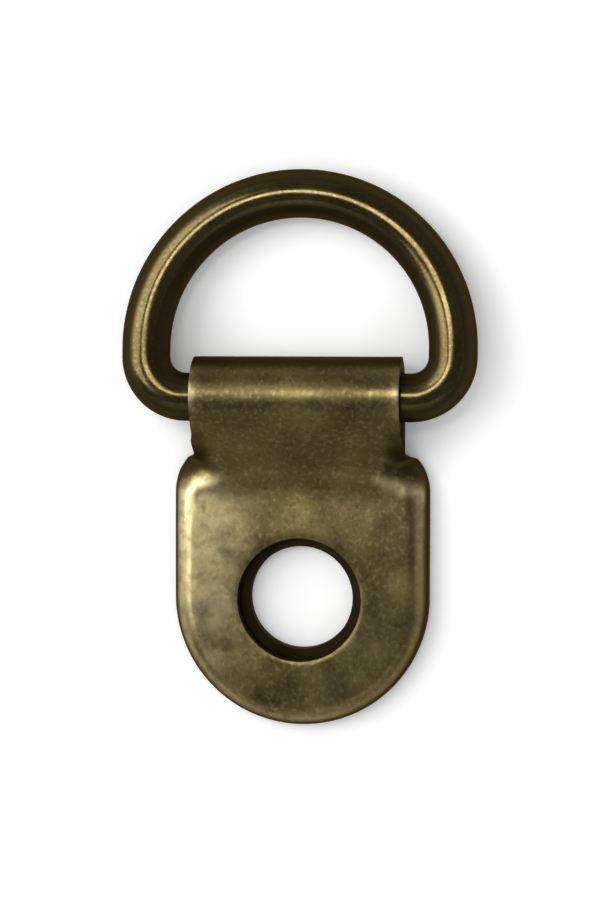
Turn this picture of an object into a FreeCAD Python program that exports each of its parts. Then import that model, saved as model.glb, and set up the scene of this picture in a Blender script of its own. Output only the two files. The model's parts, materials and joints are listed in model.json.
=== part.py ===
import FreeCAD, Part
import math
import os

import Sketcher
from FreeCAD import Vector

# A small hanger for a picture frame: a folded and pressed brass strap that is screwed to the
# frame, and a bent wire D-ring that swings in the strap's roll and takes the hanging cord.
# Millimetres. The origin is on the screw hole's axis at the mounting face, +Y points to the ring
# and +Z out of the front. The hanger lies on its back, with the ring's crown on the same surface.

# Driving dimensions: alias, value, meaning.
DIMENSIONS = (
    ("sheet_gauge", 0.6, "thickness of the strap's brass sheet"),
    ("wire_gauge", 1.9, "diameter of the ring's brass wire"),
    ("bar_play", 0.05, "radial play of the ring's bar in the roll"),
    ("leaf_gap", 0.05, "air between the back leaf and the front leaf"),
    ("strap_width", 8.15, "width of the roll, the neck and the back leaf"),
    ("bar_reach", 8.0, "from the screw hole's axis to the bar's axis"),
    ("neck_run", 4.2, "from the bar's axis back to where the front plate is flat"),
    ("neck_bend", 3.0, "radius of the bend from the neck to the flat plate"),
    ("plate_width", 10.16, "width of the pressed front plate"),
    ("shoulder_drop", 1.8, "from the bar's axis back to the top of the shoulders"),
    ("shoulder_radius", 2.2, "radius of the plate's shoulders in plan"),
    ("rim_round", 0.95, "radius over which the plate's rim is rolled down"),
    ("rim_lift", 0.1, "height of the rim's edge over the mounting face"),
    ("back_hole", 4.1, "diameter of the screw hole in the back leaf"),
    ("front_hole", 4.9, "diameter of the larger hole in the front plate"),
    ("hole_round", 0.18, "rounding of the front hole's punched edge"),
    ("corner_gap", 0.375, "from each end of the roll to the ring's corner bend"),
    ("corner_radius", 1.6, "radius of the ring's corners on the wire's centre line"),
    ("leg_length", 0.34, "straight leg between a corner and the half circle"),
    ("butt_gap", 0.2, "gap between the wire's two ends, inside the roll"),
)


class Size:
    """A length with its number and the spreadsheet expression that gives it."""

    def __init__(self, value, text):
        self.value = value
        self.text = text

    def joined(self, sign, other, value):
        text = other.text if isinstance(other, Size) else str(other)
        return Size(value, f"({self.text} {sign} {text})")

    def __add__(self, other):
        return self.joined("+", other, self.value + number(other))

    def __sub__(self, other):
        return self.joined("-", other, self.value - number(other))

    def __mul__(self, other):
        return self.joined("*", other, self.value * number(other))

    def __truediv__(self, other):
        return self.joined("/", other, self.value / number(other))


def number(size):
    return size.value if isinstance(size, Size) else size


doc = FreeCAD.newDocument("ring_hanger")
sheet = doc.addObject("Spreadsheet::Sheet", "Sizes")
dims = {}
for row, (alias, value, meaning) in enumerate(DIMENSIONS, start=1):
    sheet.set(f"A{row}", meaning)
    sheet.set(f"B{row}", str(value))
    sheet.setAlias(f"B{row}", alias)
    dims[alias] = Size(value, f"Sizes.{alias}")
doc.recompute()

# Sizes that follow from the driving ones.
roll_inner = dims["wire_gauge"] / 2 + dims["bar_play"]
roll_outer = roll_inner + dims["sheet_gauge"]
half_strap = dims["strap_width"] / 2
half_plate = dims["plate_width"] / 2
front_under = dims["sheet_gauge"] + dims["leaf_gap"]
front_top = front_under + dims["sheet_gauge"]
gap_middle = dims["sheet_gauge"] + dims["leaf_gap"] / 2
flat_end = dims["bar_reach"] - dims["neck_run"]
shoulder_top = dims["bar_reach"] - dims["shoulder_drop"]
shoulder_start = shoulder_top - dims["shoulder_radius"]
half_hollow = half_plate - dims["sheet_gauge"]
half_neck_hollow = half_strap - dims["sheet_gauge"]
hollow_corner = dims["shoulder_radius"] - dims["sheet_gauge"]
ring_half = half_strap + dims["corner_gap"] + dims["corner_radius"]
ring_centre = dims["corner_radius"] + dims["leg_length"]
ring_reach = ring_centre + ring_half


def new_sketch(body, plane, name, lift=None):
    """A sketch on one of the body's own origin planes, lifted along the plane's normal."""
    sketch = body.newObject("Sketcher::SketchObject", name)
    origin_plane = next(part for part in body.Origin.OriginFeatures if part.Role == plane)
    sketch.AttachmentSupport = [(origin_plane, "")]
    sketch.MapMode = "FlatFace"
    if lift is not None:
        sketch.setExpression("AttachmentOffset.Base.z", lift.text)
    return sketch


def add_line(sketch, start, end):
    return sketch.addGeometry(Part.LineSegment(Vector(*start, 0), Vector(*end, 0)), False)


def add_arc(sketch, centre, radius, first_angle, last_angle):
    circle = Part.Circle(Vector(*centre, 0), Vector(0, 0, 1), radius)
    return sketch.addGeometry(Part.ArcOfCircle(circle, first_angle, last_angle), False)


def relate(sketch, kind, *points):
    sketch.addConstraint(Sketcher.Constraint(kind, *points))


def measure(sketch, name, kind, points, size):
    """A named dimension of the sketch, bound to the sheet."""
    index = sketch.addConstraint(Sketcher.Constraint(kind, *points, size.value))
    sketch.renameConstraint(index, name)
    sketch.setExpression(f"Constraints.{name}", size.text)


def add_feature(body, kind, name, sketch=None, **settings):
    feature = body.newObject(f"PartDesign::{kind}", name)
    if sketch is not None:
        feature.Profile = sketch
    for key, value in settings.items():
        if isinstance(value, Size):
            feature.setExpression(key, value.text)
        else:
            setattr(feature, key, value)
    doc.recompute()
    return feature


def edges_at_height(feature, height, radius=None):
    """Names of the feature's edges that lie flat at one height, or of its circle there."""
    names = []
    for index, edge in enumerate(feature.Shape.Edges, start=1):
        box = edge.BoundBox
        flat = abs(box.ZMin - height) < TOUCH and abs(box.ZMax - height) < TOUCH
        reaches = [math.hypot(corner.X, corner.Y) for corner in edge.Vertexes]
        on_circle = radius is None or all(abs(reach - radius) < TOUCH for reach in reaches)
        if flat and on_circle:
            names.append(f"Edge{index}")
    return names


START, END, CENTRE = 1, 2, 3
ORIGIN = (-1, 1)
TOUCH = 1e-4


# The strap: one blank of sheet brass, folded round the ring's bar.

def neck_slope():
    """Centre of the neck's bend and the slope's angle, from the two arcs that it joins."""
    bend_z = front_top.value + dims["neck_bend"].value
    across = dims["bar_reach"].value - flat_end.value
    up = roll_outer.value - bend_z
    apart = math.hypot(across, up)
    lean = math.asin((roll_outer.value + dims["neck_bend"].value) / apart)
    return bend_z, math.atan2(up, across) + lean


def plate_outline(body, name, lift, half_width, corner):
    """Plan outline of the plate: a round end about the hole, straight sides and two shoulders."""
    sketch = new_sketch(body, "XY_Plane", name, lift)
    half, radius, start = half_width.value, corner.value, shoulder_start.value
    top = start + radius
    inner = half - radius
    end_arc = add_arc(sketch, (0, 0), half, math.pi, 2 * math.pi)
    right = add_line(sketch, (half, 0), (half, start))
    right_arc = add_arc(sketch, (inner, start), radius, 0, math.pi / 2)
    across = add_line(sketch, (inner, top), (-inner, top))
    left_arc = add_arc(sketch, (-inner, start), radius, math.pi / 2, math.pi)
    left = add_line(sketch, (-half, start), (-half, 0))
    relate(sketch, "Tangent", end_arc, END, right, START)
    relate(sketch, "Tangent", right, END, right_arc, START)
    relate(sketch, "Tangent", right_arc, END, across, START)
    relate(sketch, "Tangent", across, END, left_arc, START)
    relate(sketch, "Tangent", left_arc, END, left, START)
    relate(sketch, "Tangent", left, END, end_arc, START)
    relate(sketch, "Coincident", end_arc, CENTRE, *ORIGIN)
    relate(sketch, "Vertical", right)
    relate(sketch, "Equal", right_arc, left_arc)
    measure(sketch, "half_width", "Radius", (end_arc,), half_width)
    measure(sketch, "shoulder", "Radius", (right_arc,), corner)
    measure(sketch, "side", "DistanceY", (*ORIGIN, right_arc, CENTRE), shoulder_start)
    return sketch


def strap_section(body):
    """Side view of the folded sheet: back leaf, roll, sloping neck and the start of the plate."""
    sketch = new_sketch(body, "YZ_Plane", "strap_section")
    bar_y, end_y = dims["bar_reach"].value, flat_end.value
    outer, inner = roll_outer.value, roll_inner.value
    gauge, top, under = dims["sheet_gauge"].value, front_top.value, front_under.value
    bend_z, slope = neck_slope()
    bend, wide_bend = dims["neck_bend"].value, dims["neck_bend"].value + gauge
    leave = math.pi / 2 + slope
    down = -math.pi / 2

    def around(centre, radius, angle):
        return (centre[0] + radius * math.cos(angle), centre[1] + radius * math.sin(angle))

    bar, knee = (bar_y, outer), (end_y, bend_z)
    base = add_line(sketch, (0, 0), (bar_y, 0))
    roll = add_arc(sketch, bar, outer, down, leave)
    fall = add_line(sketch, around(bar, outer, leave), around(knee, bend, down + slope))
    bend_top = add_arc(sketch, knee, bend, down, down + slope)
    face = add_line(sketch, (end_y, top), (0, top))
    front_cut = add_line(sketch, (0, top), (0, under))
    belly = add_line(sketch, (0, under), (end_y, under))
    bend_under = add_arc(sketch, knee, wide_bend, down, down + slope)
    rise = add_line(sketch, around(knee, wide_bend, down + slope), around(bar, inner, leave))
    eye = add_arc(sketch, bar, inner, down, leave)
    inside = add_line(sketch, (bar_y, gauge), (0, gauge))
    back_cut = add_line(sketch, (0, gauge), (0, 0))
    relate(sketch, "Tangent", base, END, roll, START)
    relate(sketch, "Tangent", roll, END, fall, START)
    relate(sketch, "Tangent", fall, END, bend_top, END)
    relate(sketch, "Tangent", bend_top, START, face, START)
    relate(sketch, "Coincident", face, END, front_cut, START)
    relate(sketch, "Coincident", front_cut, END, belly, START)
    relate(sketch, "Tangent", belly, END, bend_under, START)
    relate(sketch, "Tangent", bend_under, END, rise, START)
    relate(sketch, "Tangent", rise, END, eye, END)
    relate(sketch, "Tangent", eye, START, inside, START)
    relate(sketch, "Coincident", inside, END, back_cut, START)
    relate(sketch, "Coincident", back_cut, END, base, START)
    relate(sketch, "Coincident", roll, CENTRE, eye, CENTRE)
    relate(sketch, "Coincident", bend_top, CENTRE, bend_under, CENTRE)
    relate(sketch, "Coincident", base, START, *ORIGIN)
    relate(sketch, "Horizontal", base)
    relate(sketch, "Horizontal", face)
    relate(sketch, "Horizontal", belly)
    relate(sketch, "Horizontal", inside)
    relate(sketch, "Vertical", front_cut)
    relate(sketch, "Vertical", back_cut)
    relate(sketch, "PointOnObject", face, END, -2)
    measure(sketch, "bar_y", "DistanceX", (*ORIGIN, roll, CENTRE), dims["bar_reach"])
    measure(sketch, "roll_outer", "Radius", (roll,), roll_outer)
    measure(sketch, "roll_inner", "Radius", (eye,), roll_inner)
    measure(sketch, "front_top", "DistanceY", (*ORIGIN, face, END), front_top)
    measure(sketch, "flat_end", "DistanceX", (*ORIGIN, bend_top, CENTRE), flat_end)
    measure(sketch, "neck_bend", "Radius", (bend_top,), dims["neck_bend"])
    measure(sketch, "wide_bend", "Radius", (bend_under,), dims["neck_bend"] + dims["sheet_gauge"])
    return sketch


def neck_hollow(body):
    """Side view of the air under the neck, up to the sheet's underside and past the shoulders."""
    sketch = new_sketch(body, "YZ_Plane", "neck_hollow")
    bar_y, end_y = dims["bar_reach"].value, flat_end.value
    bend_z, slope = neck_slope()
    wide_bend = dims["neck_bend"].value + dims["sheet_gauge"].value
    low = math.sin(slope - math.pi / 2) * wide_bend + bend_z
    near = math.cos(slope - math.pi / 2) * wide_bend + end_y
    high = low + (bar_y - near) * math.tan(slope)
    knee = (end_y, bend_z)
    wall = add_line(sketch, (end_y, 0), (end_y, bend_z - wide_bend))
    bend = add_arc(sketch, knee, wide_bend, -math.pi / 2, slope - math.pi / 2)
    rise = add_line(sketch, (near, low), (bar_y, high))
    far = add_line(sketch, (bar_y, high), (bar_y, 0))
    floor = add_line(sketch, (bar_y, 0), (end_y, 0))
    eye = add_arc(sketch, (bar_y, roll_outer.value), roll_inner.value, 0, math.pi)
    sketch.setConstruction(eye, True)
    relate(sketch, "Coincident", wall, END, bend, START)
    relate(sketch, "Tangent", bend, END, rise, START)
    relate(sketch, "Coincident", rise, END, far, START)
    relate(sketch, "Coincident", far, END, floor, START)
    relate(sketch, "Coincident", floor, END, wall, START)
    relate(sketch, "Vertical", wall)
    relate(sketch, "Vertical", far)
    relate(sketch, "PointOnObject", floor, START, -1)
    relate(sketch, "PointOnObject", floor, END, -1)
    relate(sketch, "Tangent", rise, eye)
    measure(sketch, "flat_end", "DistanceX", (*ORIGIN, bend, CENTRE), flat_end)
    measure(sketch, "wall_y", "DistanceX", (*ORIGIN, wall, START), flat_end)
    measure(sketch, "far_y", "DistanceX", (*ORIGIN, far, END), dims["bar_reach"])
    measure(sketch, "wide_bend", "Radius", (bend,), dims["neck_bend"] + dims["sheet_gauge"])
    measure(sketch, "front_under", "DistanceY", (*ORIGIN, wall, END), front_under)
    measure(sketch, "roll_inner", "Radius", (eye,), roll_inner)
    measure(sketch, "eye_y", "DistanceX", (*ORIGIN, eye, CENTRE), dims["bar_reach"])
    measure(sketch, "eye_z", "DistanceY", (*ORIGIN, eye, CENTRE), roll_outer)
    return sketch


def leaf_outline(body):
    """Plan of the back leaf's end: half a circle about the hole, as wide as the strap."""
    sketch = new_sketch(body, "XY_Plane", "back_leaf_end")
    half = half_strap.value
    end_arc = add_arc(sketch, (0, 0), half, math.pi, 2 * math.pi)
    across = add_line(sketch, (half, 0), (-half, 0))
    relate(sketch, "Coincident", end_arc, END, across, START)
    relate(sketch, "Coincident", across, END, end_arc, START)
    relate(sketch, "Coincident", end_arc, CENTRE, *ORIGIN)
    relate(sketch, "PointOnObject", across, START, -1)
    relate(sketch, "PointOnObject", across, END, -1)
    measure(sketch, "half_width", "Radius", (end_arc,), half_strap)
    return sketch


def hole_outline(body, name, lift, diameter):
    sketch = new_sketch(body, "XY_Plane", name, lift)
    radius = diameter / 2
    circle = sketch.addGeometry(Part.Circle(Vector(0, 0, 0), Vector(0, 0, 1), radius.value), False)
    relate(sketch, "Coincident", circle, CENTRE, *ORIGIN)
    measure(sketch, "radius", "Radius", (circle,), radius)
    return sketch


def make_strap():
    body = doc.addObject("PartDesign::Body", "hanger_strap")
    body.Label = "hanger_strap"
    shoulder = dims["shoulder_radius"]
    outline = plate_outline(body, "plate_outline", dims["rim_lift"], half_plate, shoulder)
    cup = add_feature(body, "Pad", "pressed_plate", outline, Length=front_top - dims["rim_lift"])
    add_feature(
        body, "Fillet", "rolled_rim",
        Base=(cup, edges_at_height(cup, front_top.value)),
        Radius=dims["rim_round"],
    )
    hollow_plan = plate_outline(body, "hollow_outline", front_under, half_hollow, hollow_corner)
    hollow = add_feature(body, "Pocket", "plate_hollow", hollow_plan, Type="ThroughAll")
    add_feature(
        body, "Fillet", "rim_inside",
        Base=(hollow, edges_at_height(hollow, front_under.value)),
        Radius=dims["rim_round"] - dims["sheet_gauge"],
    )
    add_feature(
        body, "Pocket", "under_neck", neck_hollow(body),
        SideType="Symmetric", Length=half_neck_hollow * 2,
    )
    add_feature(
        body, "Pad", "folded_strap", strap_section(body),
        SideType="Symmetric", Length=dims["strap_width"],
    )
    add_feature(body, "Pad", "back_leaf", leaf_outline(body), Length=dims["sheet_gauge"])
    front_plan = hole_outline(body, "front_hole_outline", front_top, dims["front_hole"])
    front = add_feature(body, "Pocket", "front_hole", front_plan, Length=front_top - gap_middle)
    add_feature(
        body, "Fillet", "punched_edge",
        Base=(front, edges_at_height(front, front_top.value, dims["front_hole"].value / 2)),
        Radius=dims["hole_round"],
    )
    back_plan = hole_outline(body, "back_hole_outline", gap_middle, dims["back_hole"])
    add_feature(body, "Pocket", "back_hole", back_plan, Type="ThroughAll")
    return body


# The D-ring: one length of round brass wire, its ends butted inside the strap's roll.

def ring_line(body):
    """Centre line of the wire in the ring's own plane, the bar's axis along X."""
    sketch = new_sketch(body, "XY_Plane", "ring_line")
    half, corner = ring_half.value, dims["corner_radius"].value
    centre, end = ring_centre.value, dims["butt_gap"].value / 2
    inner = half - corner
    quarter = math.pi / 2
    bar_right = add_line(sketch, (end, 0), (inner, 0))
    low_right = add_arc(sketch, (inner, corner), corner, -quarter, 0)
    leg_right = add_line(sketch, (half, corner), (half, centre))
    crown = add_arc(sketch, (0, centre), half, 0, math.pi)
    leg_left = add_line(sketch, (-half, centre), (-half, corner))
    low_left = add_arc(sketch, (-inner, corner), corner, math.pi, 3 * quarter)
    bar_left = add_line(sketch, (-inner, 0), (-end, 0))
    relate(sketch, "Tangent", bar_right, END, low_right, START)
    relate(sketch, "Tangent", low_right, END, leg_right, START)
    relate(sketch, "Tangent", leg_right, END, crown, START)
    relate(sketch, "Tangent", crown, END, leg_left, START)
    relate(sketch, "Tangent", leg_left, END, low_left, START)
    relate(sketch, "Tangent", low_left, END, bar_left, START)
    relate(sketch, "PointOnObject", bar_right, START, -1)
    relate(sketch, "PointOnObject", bar_left, END, -1)
    relate(sketch, "PointOnObject", crown, CENTRE, -2)
    relate(sketch, "Horizontal", bar_right)
    relate(sketch, "Equal", low_right, low_left)
    relate(sketch, "Vertical", leg_right)
    measure(sketch, "ring_half", "Radius", (crown,), ring_half)
    measure(sketch, "corner", "Radius", (low_right,), dims["corner_radius"])
    measure(sketch, "crown_centre", "DistanceY", (*ORIGIN, crown, CENTRE), ring_centre)
    measure(sketch, "right_end", "DistanceX", (*ORIGIN, bar_right, START), dims["butt_gap"] / 2)
    measure(sketch, "left_end", "DistanceX", (bar_left, END, *ORIGIN), dims["butt_gap"] / 2)
    return sketch


def make_ring():
    body = doc.addObject("PartDesign::Body", "d_ring")
    body.Label = "d_ring"
    wire = new_sketch(body, "YZ_Plane", "wire_round", dims["butt_gap"] / 2)
    radius = dims["wire_gauge"] / 2
    circle = wire.addGeometry(Part.Circle(Vector(0, 0, 0), Vector(0, 0, 1), radius.value), False)
    relate(wire, "Coincident", circle, CENTRE, *ORIGIN)
    measure(wire, "radius", "Radius", (circle,), radius)
    add_feature(body, "AdditivePipe", "bent_wire", wire, Spine=(ring_line(body), [""]))
    # The bar lies in the roll, and the ring tips down until its crown meets the mounting face.
    body.setExpression("Placement.Base.y", dims["bar_reach"].text)
    body.setExpression("Placement.Base.z", roll_outer.text)
    body.Placement.Rotation = FreeCAD.Rotation(Vector(1, 0, 0), -1)
    drop = (roll_outer - radius) / ring_reach
    body.setExpression("Placement.Rotation.Angle", f"-asin({drop.text})")
    return body


pieces = [make_strap(), make_ring()]
doc.recompute()

failed = [item.Name for item in doc.Objects if "Invalid" in item.State or "Error" in item.State]
if failed:
    raise RuntimeError(f"these objects did not build: {', '.join(failed)}")
for piece in pieces:
    if piece.Shape.isNull() or not piece.Shape.isValid():
        raise RuntimeError(f"{piece.Label} has no valid shape")

os.makedirs("parts", exist_ok=True)
for piece in pieces:
    piece.Shape.exportStep(f"parts/{piece.Label}.step")
    print(f"{piece.Label}: {piece.Shape.Volume:.2f} mm3, {len(piece.Shape.Solids)} solid")
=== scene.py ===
import json
import math

import bmesh
import bpy
import numpy as np
from mathutils import Matrix, Vector, noise


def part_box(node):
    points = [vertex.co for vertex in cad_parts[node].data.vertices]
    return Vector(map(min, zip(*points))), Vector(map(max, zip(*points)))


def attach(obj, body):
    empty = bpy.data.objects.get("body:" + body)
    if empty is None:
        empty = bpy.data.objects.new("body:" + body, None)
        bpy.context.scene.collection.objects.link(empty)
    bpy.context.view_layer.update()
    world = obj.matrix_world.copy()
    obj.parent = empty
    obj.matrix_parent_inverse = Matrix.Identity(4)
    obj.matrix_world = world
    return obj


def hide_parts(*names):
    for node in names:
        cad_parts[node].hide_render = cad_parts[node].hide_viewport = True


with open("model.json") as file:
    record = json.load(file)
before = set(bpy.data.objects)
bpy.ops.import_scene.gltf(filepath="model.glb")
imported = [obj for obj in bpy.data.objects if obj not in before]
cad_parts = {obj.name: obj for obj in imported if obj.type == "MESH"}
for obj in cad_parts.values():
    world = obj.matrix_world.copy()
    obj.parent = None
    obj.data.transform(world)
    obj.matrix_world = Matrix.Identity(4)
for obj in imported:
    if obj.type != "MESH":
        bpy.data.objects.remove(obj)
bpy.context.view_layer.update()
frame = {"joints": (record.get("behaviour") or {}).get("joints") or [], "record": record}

# The strap
# One blank of sheet brass, stamped out with two holes, folded round the ring's bar and pressed:
# a round-ended back leaf, the roll, a sloping neck, and a front plate whose rim and shoulders are
# drawn down over the back leaf. Sizes are in millimetres and follow the frame.
MM = 0.001
hinge = frame["joints"][0]["pos_m"]
bar_y, bar_z = hinge[1] / MM, hinge[2] / MM
gauge = 0.6
roll_radius = bar_z - gauge / 2
half_strap = 4.075
half_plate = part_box("hanger_strap")[1].x / MM
plate_z = 0.95
neck_bend = 3.3
flat_end = 3.8
neck_base = 6.65


def smooth_step(low, high, value):
    share = min(max((value - low) / (high - low), 0.0), 1.0)
    return share * share * (3 - 2 * share)


# The neck is straight between its bend and the roll, so its slope is their common tangent.
bend_centre_z = plate_z + neck_bend
neck_reach = math.hypot(bar_y - flat_end, bar_z - bend_centre_z)
neck_slope = math.atan2(bar_z - bend_centre_z, bar_y - flat_end)
neck_slope += math.asin((roll_radius + neck_bend) / neck_reach)
bend_end = flat_end + neck_bend * math.sin(neck_slope)


def neck_rise(y):
    """Height of the neck's middle sheet over the flat plate."""
    if y <= flat_end:
        return 0.0
    if y <= bend_end:
        return neck_bend - math.sqrt(neck_bend ** 2 - (y - flat_end) ** 2)
    return neck_bend * (1 - math.cos(neck_slope)) + (y - bend_end) * math.tan(neck_slope)


# Each shoulder falls away past a crest, a slanting line between these two places.
crest_inner_x, crest_inner_y = 3.1, 4.7
crest_outer_x, crest_outer_y = 4.9, 3.85
crest_width = 0.24
shoulder_fall = 0.34
fall_reach = 1.2
crown = 0.009
waviness = 0.016
ripple = 0.006


def past_crest(x, y):
    """Distance outwards past the crest's line."""
    run, rise = crest_outer_x - crest_inner_x, crest_inner_y - crest_outer_y
    return (rise * (abs(x) - crest_inner_x) + run * (y - crest_inner_y)) / math.hypot(run, rise)


def shoulder_crest(x, y):
    """One just past the crest's line, fading to nothing beside it."""
    ends = smooth_step(2.6, 3.3, abs(x))
    return ends * math.exp(-((past_crest(x, y) - crest_width / 2) / crest_width) ** 2)


def plate_height(x, y):
    """Middle of the front sheet before its rim goes down: crowned, uneven, rising to the neck."""
    on_plate = 1 - smooth_step(flat_end, 6.2, y)
    beside_neck = smooth_step(crest_inner_x, crest_outer_x, abs(x)) * (1 - smooth_step(5.0, 6.4, y))
    crowned = crown * max(half_plate ** 2 - x * x - 0.6 * y * y, 0.0)
    uneven = waviness * noise.noise(Vector((x * 0.45, y * 0.4, 3.1)))
    uneven += ripple * noise.noise(Vector((x * 1.5, y * 1.1, 8.7)))
    fall = shoulder_fall * smooth_step(0.0, fall_reach, past_crest(x, y)) * smooth_step(2.7, 3.9, abs(x))
    fall *= 1 - smooth_step(5.5, 6.5, y)
    return plate_z + neck_rise(y) * (1 - beside_neck) + (crowned + uneven) * on_plate - fall


point_step = 0.1


def arc(centre, radius, first, last, hollow=False):
    """Outline points on an arc, each with the direction that leads into the metal."""
    count = max(int(abs(last - first) * radius / point_step), 3)
    rows = []
    for step in range(count):
        angle = first + (last - first) * step / count
        point = (centre[0] + radius * math.cos(angle), centre[1] + radius * math.sin(angle))
        rows.append((point, angle if hollow else angle + math.pi))
    return rows


def straight(start, end, first_facing, last_facing):
    """Outline points on a straight edge, the inward direction turning evenly along it."""
    count = max(int(math.dist(start, end) / point_step), 3)
    rows = []
    for step in range(count):
        share = step / count
        point = tuple(a + (b - a) * share for a, b in zip(start, end))
        rows.append((point, first_facing + (last_facing - first_facing) * share))
    return rows


columns = 56
corner_facing = math.pi * 1.25


def close_outline(right_half, base_y):
    """A whole outline from its right half: down the right, up the left, then along its base."""
    left_half = [((-x, y), math.pi - facing) for (x, y), facing in reversed(right_half)]
    base = []
    for column in range(1, columns):
        share = column / columns
        point = (half_strap * (2 * share - 1), base_y)
        base.append((point, math.pi * 1.75 - math.pi * 0.5 * share))
    return right_half + left_half[1:] + base


# The front plate's outline: neck, fillet, shoulder, side and round end.
shoulder_radius = 2.2
shoulder_start = 4.2
shoulder_fillet = 0.35
inner_x = half_plate - shoulder_radius
fillet_x = half_strap + shoulder_fillet
fillet_y = shoulder_start
fillet_y += math.sqrt((shoulder_radius + shoulder_fillet) ** 2 - (fillet_x - inner_x) ** 2)
touch = math.atan2(fillet_y - shoulder_start, fillet_x - inner_x)
plate_right = straight((half_strap, neck_base), (half_strap, fillet_y), corner_facing, math.pi + touch)
fillet = arc((fillet_x, fillet_y), shoulder_fillet, math.pi, math.pi + touch, hollow=True)
plate_right += [(point, math.pi + touch) for point, facing in fillet]
roll_down_start = len(plate_right)
plate_right += arc((inner_x, shoulder_start), shoulder_radius, touch, 0.0)
plate_right += straight((half_plate, shoulder_start), (half_plate, 0.0), math.pi, math.pi)
plate_right += arc((0.0, 0.0), half_plate, 0.0, -math.pi / 2)
plate_right.append(((0.0, -half_plate), math.pi / 2))
plate_outline = close_outline(plate_right, neck_base)

# The back leaf's outline: straight sides and a round end.
leaf_base = 4.4
leaf_z = gauge / 2
leaf_right = straight((half_strap, leaf_base), (half_strap, 0.0), corner_facing, math.pi)
leaf_right += arc((0.0, 0.0), half_strap, 0.0, -math.pi / 2)
leaf_right.append(((0.0, -half_strap), math.pi / 2))
leaf_outline = close_outline(leaf_right, leaf_base)


def rim_weights(outline, start, ramp):
    """How far the rim is rolled down at each outline point: none at the neck, all past the shoulders."""
    half = next(i for i, ((x, y), facing) in enumerate(outline) if x <= 0 and y < 0)
    weights = []
    for index in range(len(outline)):
        nearest = index if index <= half else 2 * half - index
        weights.append(smooth_step(start, start + ramp, nearest) if nearest > 0 else 0.0)
    return weights


# Outline points before the shoulder at which the rim starts to go down, and over which it does.
lead_in = 8
roll_down_points = 19
plate_weights = rim_weights(plate_outline, roll_down_start - lead_in, roll_down_points)

rim_edge_z = 0.1
rim_bend = 0.55
rim_straight = plate_z - rim_bend - rim_edge_z
rim_band = 2.0
bend_steps = 14
shoulder_spread = 0.35


def rim_section(weight, shoulder):
    """Inset and drop of the sheet's middle at each step from the rim's edge inwards."""
    angle = max(weight * math.pi / 2, 0.001)
    arc_length = rim_bend * math.pi / 2 * (1 + shoulder_spread * shoulder)
    steps = [rim_straight * k / 2 for k in range(3)]
    steps += [rim_straight + arc_length * k / bend_steps for k in range(1, bend_steps + 1)]
    flat_start = steps[-1]
    steps += [flat_start + (rim_band - flat_start) * k / 4 for k in range(1, 5)]
    radius = arc_length / angle
    full_drop = rim_straight * math.sin(angle) + radius * (1 - math.cos(angle))
    squash = min(1.0, (plate_z - rim_edge_z) / full_drop)
    section = []
    for s in steps:
        along = min(s, rim_straight)
        bent = min(max(s - rim_straight, 0.0), arc_length)
        turn = bent / radius
        inset = along * math.cos(angle) + radius * (math.sin(angle) - math.sin(angle - turn))
        height = along * math.sin(angle) + radius * (math.cos(angle - turn) - math.cos(angle))
        inset += max(s - rim_straight - arc_length, 0.0)
        section.append((inset + gauge / 2 * math.sin(angle), height * squash))
    edge_height = section[-1][1]
    return [(inset, height - edge_height) for inset, height in section]


# Strengths of the painted shade and of the painted highlights, which are partly wear, on the front plate.
corner_shade = 0.9
neck_shade = 0.4
crest_wear_and_highlight = 0.9
side_wear_and_light = 0.42


def neck_edge_shade(x, y):
    """Painted shade along the neck's two edges, in the corners over the shoulders."""
    along = smooth_step(5.3, 6.0, y) * (1 - smooth_step(6.6, 7.4, y))
    return corner_shade * smooth_step(3.0, 3.9, abs(x)) * along


def rim_wear_and_painted_light(drop, x, y):
    """How far the finish is rubbed off and painted bright, less the painted shade, on the front plate.

    It is brightest on the rim's upper side, on the crests and on the left, and least at the neck: there the
    brass is partly rubbed bare and partly a painted highlight. The fall past the crests, the neck and the
    neck's edges get painted shade.
    """
    # The rim's upper side is bright: wear, and a painted highlight that is strongest on the left, the side
    # the light comes from.
    rim = smooth_step(0.0, 0.06, -drop) * (1 - smooth_step(0.16, 0.45, -drop))
    rim *= (0.2 + 0.8 * smooth_step(-3.5, 3.0, y)) * (1 - smooth_step(4.0, 4.7, y))
    rim *= 1 - 0.8 * smooth_step(0.0, 3.0, x)
    # A painted pool of light, partly wear, on the plate's two sides, mostly the left.
    sides = side_wear_and_light * smooth_step(1.0, 3.6, abs(x)) * smooth_step(-4.8, 0.5, y)
    sides *= (1 - smooth_step(4.2, 5.2, y)) * (1 - 0.85 * smooth_step(-1.0, 2.0, x))
    rubbed_and_lit = max(rim, sides, crest_wear_and_highlight * shoulder_crest(x, y))
    # Painted shade past the crests, on the neck and along the neck's edges.
    shaded = smooth_step(0.4, 0.7, past_crest(x, y)) * smooth_step(2.9, 3.5, abs(x))
    shaded = max(shaded * (1 - smooth_step(5.4, 6.3, y)), neck_shade * smooth_step(4.3, 6.0, y))
    return rubbed_and_lit - max(shaded, neck_edge_shade(x, y))


def leaf_dark_finish_and_shade(drop, x, y):
    """The back leaf gets the dark colour all over: its whole, unrubbed finish, and painted shade under the
    front plate and through the hole.
    """
    return -1.0


def leaf_height(x, y):
    """The back leaf is flat."""
    return leaf_z


# The shoulders' edge stays this much higher than the rest of the rim.
shoulder_lift = 0.08
inward_steps = 16
inward_crowding = 1.6
punched_reach = 0.2


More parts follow.
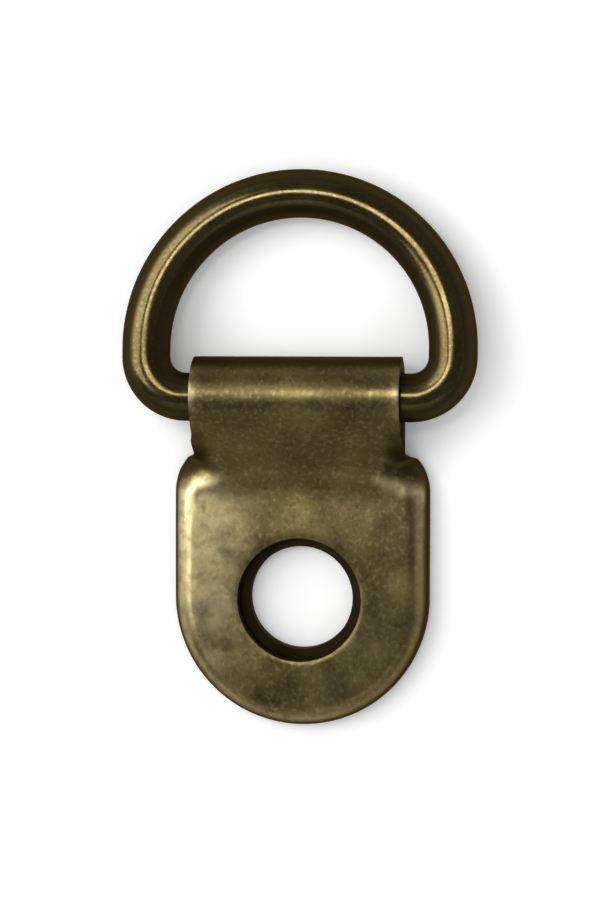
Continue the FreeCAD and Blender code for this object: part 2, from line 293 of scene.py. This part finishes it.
def ring_of_rows(outline, weights, height_at, hole_radius, droop, wear_and_painted_light_at):
    """Rows of points from an outline in to a hole, each point with its wear and painted light."""
    sections = []
    for index, ((x, y), facing) in enumerate(outline):
        shoulder = smooth_step(2.6, 4.4, y) * weights[index]
        sections.append(rim_section(weights[index], shoulder))
    rows = []
    for step in range(len(sections[0])):
        row = []
        for ((x, y), facing), section in zip(outline, sections):
            inset, drop = section[step]
            px, py = x + inset * math.cos(facing), y + inset * math.sin(facing)
            height = height_at(px, py)
            lowest = rim_edge_z + shoulder_lift * smooth_step(shoulder_start, 5.0, y)
            reach_down = min((height - lowest) / (plate_z - rim_edge_z), 1.0)
            row.append((px, py, height + drop * reach_down, wear_and_painted_light_at(drop, px, py)))
        rows.append(row)
    last = rows[-1]
    for step in range(1, inward_steps + 1):
        share = 1 - (1 - step / inward_steps) ** inward_crowding
        row = []
        for px, py, pz, wear_and_painted_light in last:
            radius = math.hypot(px, py)
            new_radius = radius + (hole_radius - radius) * share
            qx, qy = px * new_radius / radius, py * new_radius / radius
            edge_droop = droop * smooth_step(punched_reach, 0.0, new_radius - hole_radius)
            row.append((qx, qy, height_at(qx, qy) - edge_droop, wear_and_painted_light_at(0.0, qx, qy)))
        rows.append(row)
    return rows


front_hole_radius = 2.45
punched_droop = 0.03
screw_mount = next(m for m in frame["record"]["mounts"] if m["name"] == "screw_hole")
screw_radius = screw_mount["dims"]["r_mm"]
front_rows = ring_of_rows(
    plate_outline, plate_weights, plate_height, front_hole_radius, punched_droop, rim_wear_and_painted_light
)
flat_weights = [0.0] * len(leaf_outline)
leaf_rows = ring_of_rows(leaf_outline, flat_weights, leaf_height, screw_radius, 0.0, leaf_dark_finish_and_shade)

# The neck above the plate, the roll and the flat run of the back leaf, as one strip.
roll_top = math.pi / 2 + neck_slope
roll_start_y = bar_y + roll_radius * math.cos(roll_top)
strip = []
neck_steps = 7
for step in range(neck_steps):
    y = neck_base + (roll_start_y - neck_base) * step / neck_steps
    strip.append((y, plate_z + neck_rise(y)))
roll_steps = 90
for step in range(roll_steps):
    angle = roll_top - (roll_top + math.pi / 2) * step / roll_steps
    strip.append((bar_y + roll_radius * math.cos(angle), bar_z + roll_radius * math.sin(angle)))
leaf_steps = 24
for step in range(leaf_steps + 1):
    strip.append((bar_y + (leaf_base - bar_y) * step / leaf_steps, leaf_z))
cross = [half_strap * (2 * column / columns - 1) for column in range(columns + 1)]
# The neck and roll get painted shade, least on the roll's top and most on its far side; the roll's top is
# bright at its two ends, partly wear and partly a painted glint.
end_wear_and_glint = 0.6
top_less_shade = 0.12
far_side_shade = 0.3
strip_rows = []
for y, z in strip:
    glinting_worn_ends = end_wear_and_glint * smooth_step(bar_z, 2 * bar_z, z) * smooth_step(7.0, 7.8, y)
    shaded = neck_shade - top_less_shade * smooth_step(6.6, 8.0, y) + far_side_shade * smooth_step(8.6, 9.3, y)
    row = []
    for x in cross:
        edge_shade = neck_edge_shade(x, y) if z > bar_z else 0.0
        rubbed_and_lit = glinting_worn_ends * smooth_step(3.5, 4.0, abs(x))
        row.append((x, y, z, rubbed_and_lit - max(shaded, edge_shade)))
    strip_rows.append(row)


def sheet_mesh(name, parts):
    """One mesh from grids of points, open or closed round, welded where they share an edge."""
    shell = bmesh.new()
    # Each point carries its wear value, which also holds painted highlights and painted shade.
    wear_and_painted_light_layer = shell.verts.layers.float.new("wear_and_painted_light")
    for rows, closed in parts:
        grid = []
        for row in rows:
            corners = []
            for *point, wear_and_painted_light in row:
                corner = shell.verts.new(Vector(point) * MM)
                corner[wear_and_painted_light_layer] = wear_and_painted_light
                corners.append(corner)
            grid.append(corners)
        width = len(grid[0])
        for upper, lower in zip(grid, grid[1:]):
            for i in range(width if closed else width - 1):
                j = (i + 1) % width
                shell.faces.new((upper[i], lower[i], lower[j], upper[j]))
    bmesh.ops.remove_doubles(shell, verts=shell.verts, dist=0.002 * MM)
    bmesh.ops.recalc_face_normals(shell, faces=shell.faces)
    mesh = bpy.data.meshes.new(name)
    shell.to_mesh(mesh)
    shell.free()
    return mesh


def add_piece(name, mesh):
    piece = bpy.data.objects.new(name, mesh)
    bpy.context.scene.collection.objects.link(piece)
    return piece


def settle_modifiers(piece):
    """Keeps the modifiers' result as the piece's own mesh, shaded smooth."""
    shaped = piece.evaluated_get(bpy.context.evaluated_depsgraph_get())
    mesh = bpy.data.meshes.new_from_object(shaped)
    piece.modifiers.clear()
    piece.data = mesh
    mesh.shade_smooth()


edge_rounding = 0.09
strap_mesh = sheet_mesh("strap", ((front_rows, True), (strip_rows, False), (leaf_rows, True)))
strap = add_piece("strap", strap_mesh)
thicken = strap.modifiers.new("sheet_gauge", "SOLIDIFY")
thicken.thickness = gauge * MM
thicken.offset = 0
thicken.use_even_offset = True
soften = strap.modifiers.new("sheared_edges", "BEVEL")
soften.width = edge_rounding * MM
soften.segments = 3
soften.limit_method = "ANGLE"
soften.angle_limit = math.radians(50)
settle_modifiers(strap)


# Noise scales per metre: clouds are some millimetres wide, patches and the grain are finer.
cloud_scale = 420
polish_scale = 900
patch_scale = 2600
grain_scale = 5000


def antique_brass(name, bright, dark, fleck, bare_brass_and_highlight, shade_and_dark_finish, rubbed_and_lit_from, roughness, grain, fleck_scale):
    """Brass plate darkened by an antique finish: cloudy patina, fine flecks and a fine grain, with painted
    shade on its steep faces and the painted light that the wear attribute carries.
    """
    finish = bpy.data.materials.new(name)
    finish.use_nodes = True
    nodes, links = finish.node_tree.nodes, finish.node_tree.links
    shader = nodes["Principled BSDF"]
    shader.inputs["Metallic"].default_value = 1.0
    shader.inputs["Specular Tint"].default_value = (0.5, 0.46, 0.38, 1)
    place = nodes.new("ShaderNodeTexCoord")

    def noise_at(scale, detail, stretch=(1, 1, 1)):
        mapping = nodes.new("ShaderNodeMapping")
        mapping.inputs["Scale"].default_value = stretch
        links.new(place.outputs["Object"], mapping.inputs["Vector"])
        texture = nodes.new("ShaderNodeTexNoise")
        texture.inputs["Scale"].default_value = scale
        texture.inputs["Detail"].default_value = detail
        links.new(mapping.outputs["Vector"], texture.inputs["Vector"])
        return texture.outputs["Fac"]

    def ramp(source, low, high, low_colour, high_colour):
        spread = nodes.new("ShaderNodeValToRGB")
        spread.color_ramp.elements[0].position = low
        spread.color_ramp.elements[1].position = high
        spread.color_ramp.elements[0].color = (*low_colour, 1)
        spread.color_ramp.elements[1].color = (*high_colour, 1)
        links.new(source, spread.inputs["Fac"])
        return spread.outputs["Color"]

    def blend(share, first, second):
        mix = nodes.new("ShaderNodeMix")
        mix.data_type = "RGBA"
        links.new(share, mix.inputs["Factor"])
        for socket, value in ((mix.inputs["A"], first), (mix.inputs["B"], second)):
            if isinstance(value, tuple):
                socket.default_value = (*value, 1)
            else:
                links.new(value, socket)
        return mix.outputs["Result"]

    cloud = ramp(noise_at(cloud_scale, 5), 0.32, 0.7, dark, bright)
    fleck_mask = ramp(noise_at(fleck_scale, 3, grain), 0.5, 0.85, (0, 0, 0), (0.7,) * 3)
    pit_mask = ramp(noise_at(1.1 * fleck_scale, 2, grain), 0.24, 0.46, (0.5,) * 3, (0, 0, 0))
    flecked = blend(fleck_mask, cloud, fleck)
    coloured = blend(pit_mask, flecked, tuple(0.45 * channel for channel in dark))
    # The finish was rubbed off the outward faces, most on the edges that a hand meets, which are bright
    # brass there, and these marks also carry painted highlights. Faces that turn away from straight up, and
    # places whose wear is below zero, get the dark colour: the whole finish, and painted shade.
    facing = nodes.new("ShaderNodeSeparateXYZ")
    links.new(place.outputs["Normal"], facing.inputs[0])
    outward = nodes.new("ShaderNodeMath")
    outward.operation = "ABSOLUTE"
    links.new(facing.outputs["Z"], outward.inputs[0])
    rubbed_and_lit = ramp(outward.outputs[0], rubbed_and_lit_from, 0.95, (0, 0, 0), (1, 1, 1))
    wear_and_painted_light = nodes.new("ShaderNodeAttribute")
    wear_and_painted_light.attribute_name = "wear_and_painted_light"
    patchy = nodes.new("ShaderNodeMath")
    patchy.operation = "MULTIPLY"
    patches = ramp(noise_at(patch_scale, 4), 0.3, 0.55, (0.35,) * 3, (1, 1, 1))
    links.new(patches, patchy.inputs[0])
    links.new(wear_and_painted_light.outputs["Fac"], patchy.inputs[1])
    patchy.use_clamp = True
    painted_shade_share = nodes.new("ShaderNodeMath")
    painted_shade_share.operation = "MULTIPLY"
    painted_shade_share.inputs[1].default_value = -1
    painted_shade_share.use_clamp = True
    links.new(wear_and_painted_light.outputs["Fac"], painted_shade_share.inputs[0])
    worn_and_highlit = blend(patchy.outputs[0], coloured, bare_brass_and_highlight)
    open_faces = blend(rubbed_and_lit, shade_and_dark_finish, worn_and_highlit)
    links.new(blend(painted_shade_share.outputs[0], open_faces, shade_and_dark_finish), shader.inputs["Base Color"])
    smoother, rougher = (roughness * 0.75,) * 3, (roughness * 1.25,) * 3
    polished = ramp(noise_at(polish_scale, 5), 0.3, 0.7, smoother, rougher)
    links.new(blend(rubbed_and_lit, (0.5,) * 3, polished), shader.inputs["Roughness"])
    bump = nodes.new("ShaderNodeBump")
    bump.inputs["Strength"].default_value = 0.2
    bump.inputs["Distance"].default_value = 0.008 * MM
    links.new(noise_at(grain_scale, 5, grain), bump.inputs["Height"])
    links.new(bump.outputs["Normal"], shader.inputs["Normal"])
    return finish


# Steep faces of the strap, such as its rolled rims, fade to the dark colour: painted shade.
strap.data.materials.append(antique_brass(
    "antique_brass_strap",
    bright=(0.3, 0.24, 0.09),
    dark=(0.13, 0.092, 0.032),
    fleck=(0.55, 0.47, 0.22),
    bare_brass_and_highlight=(0.9, 0.76, 0.42),
    shade_and_dark_finish=(0.048, 0.033, 0.014),
    rubbed_and_lit_from=0.5,
    roughness=0.34,
    grain=(1.0, 0.85, 1.0),
    fleck_scale=6200,
))
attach(strap, "strap")
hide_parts("hanger_strap")

# The D-ring
# One length of round brass wire, drawn smooth, bent to a half circle with two short legs and two
# tight corners, its ends butted inside the roll. It lies tipped down until its crown meets the floor.
wire_radius = 0.95
corner_radius = 1.6
corner_gap = 0.375
leg_length = 0.34
butt_gap = 0.2
ring_half = half_strap + corner_gap + corner_radius
ring_centre = corner_radius + leg_length
ring_tilt = math.asin((bar_z - wire_radius) / (ring_centre + ring_half))
wire_sides = 64


def wire_line():
    """Centre line of the wire in the ring's own plane, as points with their direction of travel."""
    quarter = math.pi / 2
    inner = ring_half - corner_radius
    line = [((x, 0.0), 0.0) for x in np.linspace(butt_gap / 2, inner, 24, endpoint=False)]
    for turn in np.linspace(0.0, quarter, 28, endpoint=False):
        x = inner + corner_radius * math.sin(turn)
        line.append(((x, corner_radius * (1 - math.cos(turn))), turn))
    for y in np.linspace(corner_radius, ring_centre, 4, endpoint=False):
        line.append(((ring_half, y), quarter))
    for turn in np.linspace(0.0, quarter, 70, endpoint=False):
        x, y = ring_half * math.cos(turn), ring_centre + ring_half * math.sin(turn)
        line.append(((x, y), quarter + turn))
    mirrored = [((-x, y), 2 * math.pi - heading) for (x, y), heading in reversed(line)]
    return line + [((0.0, ring_centre + ring_half), math.pi)] + mirrored


def ring_place(across, up, lift):
    """A point of the ring's own plane, tipped about the bar into the hanger's frame."""
    y = bar_y + up * math.cos(ring_tilt) + lift * math.sin(ring_tilt)
    z = bar_z - up * math.sin(ring_tilt) + lift * math.cos(ring_tilt)
    return Vector((across, y, z)) * MM


wire = bmesh.new()
loops = []
for (x, y), heading in wire_line():
    loop = []
    for side in range(wire_sides):
        angle = 2 * math.pi * side / wire_sides
        out = wire_radius * math.cos(angle)
        lift = wire_radius * math.sin(angle)
        across, up = x + out * math.sin(heading), y - out * math.cos(heading)
        loop.append(wire.verts.new(ring_place(across, up, lift)))
    loops.append(loop)
for first, second in zip(loops, loops[1:]):
    for i in range(wire_sides):
        j = (i + 1) % wire_sides
        wire.faces.new((first[i], second[i], second[j], first[j]))
wire.faces.new(loops[0])
wire.faces.new(reversed(loops[-1]))
bmesh.ops.recalc_face_normals(wire, faces=wire.faces)
ring_mesh = bpy.data.meshes.new("ring")
wire.to_mesh(ring_mesh)
wire.free()
ring_mesh.shade_smooth()
ring = add_piece("ring", ring_mesh)
# The wire's sides fade to the dark colour, leaving only its top in brass: painted shade.
ring.data.materials.append(antique_brass(
    "antique_brass_wire",
    bright=(0.15, 0.12, 0.048),
    dark=(0.085, 0.062, 0.023),
    fleck=(0.24, 0.2, 0.09),
    bare_brass_and_highlight=(0.7, 0.6, 0.38),
    shade_and_dark_finish=(0.042, 0.031, 0.013),
    rubbed_and_lit_from=0.84,
    roughness=0.17,
    grain=(1.0, 1.0, 1.0),
    fleck_scale=8000,
))
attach(ring, "ring")
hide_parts("d_ring")

# The studio
# A plain white floor under the hanger and a white wall all round it, a broad soft light from the
# left, a small one overhead and two dim ones, and the camera above, looking down from a little to
# the right of the hanger and past its roll.
def seen_white(material, strength, reflected):
    """A white that only the camera, clear materials and reflections see, and that lights nothing."""
    nodes, links = material.node_tree.nodes, material.node_tree.links
    path = nodes.new("ShaderNodeLightPath")
    mirrored = nodes.new("ShaderNodeMath")
    mirrored.operation = "MULTIPLY"
    links.new(path.outputs["Is Glossy Ray"], mirrored.inputs[0])
    links.new(reflected, mirrored.inputs[1])
    share = path.outputs["Is Camera Ray"]
    for ray in (mirrored.outputs[0], path.outputs["Is Transmission Ray"]):
        either = nodes.new("ShaderNodeMath")
        either.operation = "MAXIMUM"
        links.new(share, either.inputs[0])
        links.new(ray, either.inputs[1])
        share = either.outputs[0]
    level = nodes.new("ShaderNodeMath")
    level.operation = "MULTIPLY"
    links.new(share, level.inputs[0])
    links.new(strength, level.inputs[1])
    glow = nodes.new("ShaderNodeEmission")
    glow.inputs["Color"].default_value = (1, 1, 1, 1)
    links.new(level.outputs[0], glow.inputs["Strength"])
    return glow.outputs["Emission"]


floor_mesh = bpy.data.meshes.new("floor")
reach = 0.9
floor_mesh.from_pydata(
    [(-reach, -reach, 0), (reach, -reach, 0), (reach, reach, 0), (-reach, reach, 0)], [], [(0, 1, 2, 3)]
)
floor = add_piece("floor", floor_mesh)
floor_gap = 0.02
floor.location.z = -floor_gap * MM
white = bpy.data.materials.new("white_floor")
white.use_nodes = True
nodes, links = white.node_tree.nodes, white.node_tree.links
paper = nodes["Principled BSDF"]
paper.inputs["Base Color"].default_value = (0.82, 0.82, 0.82, 1)
paper.inputs["Roughness"].default_value = 0.7
paper.inputs["Specular IOR Level"].default_value = 0.1
place = nodes.new("ShaderNodeTexCoord")
distance = nodes.new("ShaderNodeVectorMath")
distance.operation = "LENGTH"
links.new(place.outputs["Object"], distance.inputs[0])
far_white = nodes.new("ShaderNodeMapRange")
far_white.inputs["From Min"].default_value = 0.03
far_white.inputs["From Max"].default_value = 0.12
far_white.inputs["To Min"].default_value = 0.68
far_white.inputs["To Max"].default_value = 1.0
links.new(distance.outputs["Value"], far_white.inputs["Value"])
# The floor's glow is dimmed by occlusion close to the hanger: a painted contact shadow.
contact_shadow_ao = nodes.new("ShaderNodeAmbientOcclusion")
contact_shadow_ao.samples = 4
contact_shadow_ao.inputs["Distance"].default_value = 3 * MM
glow_with_contact_shadow = nodes.new("ShaderNodeMath")
glow_with_contact_shadow.operation = "MULTIPLY"
links.new(contact_shadow_ao.outputs["AO"], glow_with_contact_shadow.inputs[0])
links.new(far_white.outputs["Result"], glow_with_contact_shadow.inputs[1])
full = nodes.new("ShaderNodeValue")
full.outputs[0].default_value = 1.0
both = nodes.new("ShaderNodeAddShader")
links.new(paper.outputs["BSDF"], both.inputs[0])
links.new(seen_white(white, glow_with_contact_shadow.outputs[0], full.outputs[0]), both.inputs[1])
links.new(both.outputs["Shader"], nodes["Material Output"].inputs["Surface"])
floor_mesh.materials.append(white)

# A white wall all round, so that the horizon is white too. Its upper part is dim in reflections.
wall_mesh = bpy.data.meshes.new("backdrop")
wall_height = 1.0
wall_sides = 96
wall_points = []
for z in (0.0, wall_height):
    for side in range(wall_sides):
        angle = 2 * math.pi * side / wall_sides
        wall_points.append((reach * math.cos(angle), reach * math.sin(angle), z))
wall_faces = []
for side in range(wall_sides):
    after = (side + 1) % wall_sides
    wall_faces.append((side, after, wall_sides + after, wall_sides + side))
wall_mesh.from_pydata(wall_points, [], wall_faces)
backdrop = add_piece("backdrop", wall_mesh)
backdrop.location.z = floor.location.z
backdrop_white = bpy.data.materials.new("white_backdrop")
backdrop_white.use_nodes = True
nodes, links = backdrop_white.node_tree.nodes, backdrop_white.node_tree.links
full = nodes.new("ShaderNodeValue")
full.outputs[0].default_value = 1.0
place = nodes.new("ShaderNodeTexCoord")
height = nodes.new("ShaderNodeSeparateXYZ")
links.new(place.outputs["Object"], height.inputs[0])
upper_dim = nodes.new("ShaderNodeMapRange")
upper_dim.inputs["From Min"].default_value = 0.15 * reach
upper_dim.inputs["From Max"].default_value = 0.4 * reach
upper_dim.inputs["To Min"].default_value = 1.0
upper_dim.inputs["To Max"].default_value = 0.2
links.new(height.outputs["Z"], upper_dim.inputs["Value"])
wall_glow = seen_white(backdrop_white, full.outputs[0], upper_dim.outputs["Result"])
links.new(wall_glow, nodes["Material Output"].inputs["Surface"])
wall_mesh.materials.append(backdrop_white)

world = bpy.data.worlds.new("studio")
bpy.context.scene.world = world
world.use_nodes = True
world.node_tree.nodes["Background"].inputs["Color"].default_value = (1, 1, 1, 1)
world.node_tree.nodes["Background"].inputs["Strength"].default_value = 0.16


def soft_light(name, place, aim, size, power):
    lamp = bpy.data.lights.new(name, "AREA")
    lamp.shape = "RECTANGLE"
    lamp.size, lamp.size_y = size
    lamp.energy = power
    holder = bpy.data.objects.new(name, lamp)
    holder.location = place
    holder.rotation_euler = (Vector(aim) - Vector(place)).to_track_quat("-Z", "Y").to_euler()
    bpy.context.scene.collection.objects.link(holder)
    holder.visible_camera = False


middle = Vector((0.0, 0.0059, 0.001))
soft_light("left_window", (-0.131, 0.057, 0.142), middle, (0.17, 0.145), 0.25)
soft_light("overhead", (-0.008, 0.031, 0.098), middle, (0.034, 0.016), 0.0125)
soft_light("right_fill", (0.2, -0.01, 0.09), middle, (0.06, 0.12), 0.012)
soft_light("near_fill", (0.0, -0.09, 0.09), middle, (0.16, 0.08), 0.012)

camera_data = bpy.data.cameras.new("camera")
camera_data.sensor_fit = "VERTICAL"
camera_data.sensor_height = 36
camera_data.clip_start = 0.005
camera_data.clip_end = 10
camera_height = 0.09
view_height = 0.0355
camera_data.lens = camera_data.sensor_height * camera_height / view_height
camera = bpy.data.objects.new("camera", camera_data)
camera.location = (0.0115, 0.0115, camera_height)
back = (camera.location - middle).normalized()
right = Vector((0, 1, 0)).cross(back).normalized()
camera.rotation_euler = Matrix((right, back.cross(right), back)).transposed().to_euler()
bpy.context.scene.collection.objects.link(camera)
bpy.context.scene.camera = camera
bpy.context.scene.view_settings.view_transform = "Standard"
